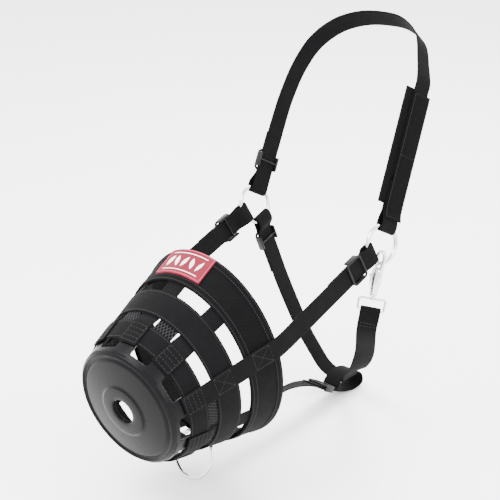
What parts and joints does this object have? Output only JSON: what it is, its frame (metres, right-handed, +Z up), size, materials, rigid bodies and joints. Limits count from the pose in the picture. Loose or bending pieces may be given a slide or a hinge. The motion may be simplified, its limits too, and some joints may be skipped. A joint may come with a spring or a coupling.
{
  "type": "basket muzzle",
  "caption": "Webbing grazing muzzle: a strap basket with a holed rubber cup, built into a halter with steel rings, sliders, a snap and a breakaway crown.",
  "frame": {"origin": "centre of the basket's mouth, in the plane of its rear rim", "axes": "+X towards the horse's near side, +Y back towards the poll and throat, +Z up; the basket's nose end points along -Y and 10 degrees down"},
  "size_m": [0.2384, 0.51, 0.5102],
  "materials": {
    "webbing": "woven polyester webbing, fine ribs",
    "fleece": "brushed lining",
    "spacer_mesh": "open knitted spacer mesh",
    "hook_and_loop": "fuzzy hook-and-loop tape",
    "badge_vinyl": "moulded soft vinyl",
    "cup_rubber": "moulded, satin",
    "chromed_steel": "polished plate",
    "spring_steel": "drawn wire",
    "slider_plastic": "moulded acetal"
  },
  "bodies": {
    "muzzle": {"noseband": "webbing", "noseband_lining": "fleece", "middle_band": "webbing", "lower_band": "webbing", "top_basket_strap": "webbing", "near_upper_basket_strap": "webbing", "far_upper_basket_strap": "webbing", "near_lower_basket_strap": "webbing", "far_lower_basket_strap": "webbing", "near_under_basket_strap": "webbing", "far_under_basket_strap": "webbing", "near_upper_mesh_panel": "spacer_mesh", "far_upper_mesh_panel": "spacer_mesh", "near_lower_mesh_panel": "spacer_mesh", "far_lower_mesh_panel": "spacer_mesh", "badge": "badge_vinyl", "rubber_cup": "cup_rubber", "lead_ring_loop": "webbing", "near_cheek_strap": "webbing", "far_cheek_strap": "webbing", "throat_strap": "webbing", "chin_strap": "webbing", "snap_eye": "chromed_steel"},
    "lead_ring": {"lead_ring": "chromed_steel"},
    "near_ring": {"near_ring": "chromed_steel"},
    "far_ring": {"far_ring": "chromed_steel"},
    "crown": {"crown_strap": "webbing", "breakaway_loop": "webbing", "breakaway_panel": "hook_and_loop"},
    "breakaway_flap": {"breakaway_flap": "hook_and_loop"},
    "crown_slider": {"crown_slider": "slider_plastic"},
    "near_cheek_slider": {"near_cheek_slider": "slider_plastic"},
    "far_cheek_slider": {"far_cheek_slider": "slider_plastic"},
    "throat_slider": {"throat_slider": "slider_plastic"},
    "chin_slider": {"chin_slider": "slider_plastic"},
    "snap": {"snap_body": "chromed_steel", "snap_spring": "spring_steel"},
    "snap_bolt": {"snap_bolt": "chromed_steel"}
  },
  "joints": [
    {"name": "lead_ring_swing", "type": "hinge", "parent": "muzzle", "child": "lead_ring", "pos_m": [0, -0.03265, -0.11718], "axis": [1, 0, 0], "range_deg": [-8, 50]},
    {"name": "near_ring_spin", "type": "hinge", "parent": "muzzle", "child": "near_ring", "pos_m": [0.102, 0.194, 0.094], "axis": [0.9633, -0.1699, 0.2079], "continuous": true},
    {"name": "far_ring_spin", "type": "hinge", "parent": "muzzle", "child": "far_ring", "pos_m": [-0.102, 0.194, 0.094], "axis": [-0.9313, 0.0651, -0.3584], "continuous": true},
    {"name": "crown_swing", "type": "hinge", "parent": "muzzle", "child": "crown", "pos_m": [0, 0.194, 0.094], "axis": [1, 0, 0], "range_deg": [-10, 10]},
    {"name": "breakaway_peel", "type": "hinge", "parent": "crown", "child": "breakaway_flap", "pos_m": [0.10395, 0.2097, 0.122], "axis": [0.2525, 0.8364, -0.4865], "range_deg": [0, 60]},
    {"name": "crown_slider_slide", "type": "slide", "parent": "crown", "child": "crown_slider", "axis": [-0.0983, 0.5274, 0.8439], "range_m": [0, 0.02]},
    {"name": "near_cheek_slider_slide", "type": "slide", "parent": "muzzle", "child": "near_cheek_slider", "axis": [0.0073, -0.9527, -0.3038], "range_m": [0, 0.03]},
    {"name": "far_cheek_slider_slide", "type": "slide", "parent": "muzzle", "child": "far_cheek_slider", "axis": [-0.0073, -0.9527, -0.3038], "range_m": [0, 0.03]},
    {"name": "throat_slider_slide", "type": "slide", "parent": "muzzle", "child": "throat_slider", "axis": [0.1537, 0.2847, -0.9462], "range_m": [0, 0.03]},
    {"name": "chin_slider_slide", "type": "slide", "parent": "muzzle", "child": "chin_slider", "axis": [0, -0.8758, 0.4826], "range_m": [-0.004, 0.012]},
    {"name": "snap_swivel", "type": "hinge", "parent": "muzzle", "child": "snap", "pos_m": [0.10551, 0.18903, 0.07959], "axis": [0, 0.2756, 0.9613], "range_deg": [-15, 15]},
    {"name": "snap_bolt_slide", "type": "slide", "parent": "snap", "child": "snap_bolt", "axis": [0, -0.2756, -0.9613], "range_m": [0, 0.008], "stiffness_N_per_m": 250, "springref_m": -0.004, "deforming": ["snap_spring"]}
  ]
}
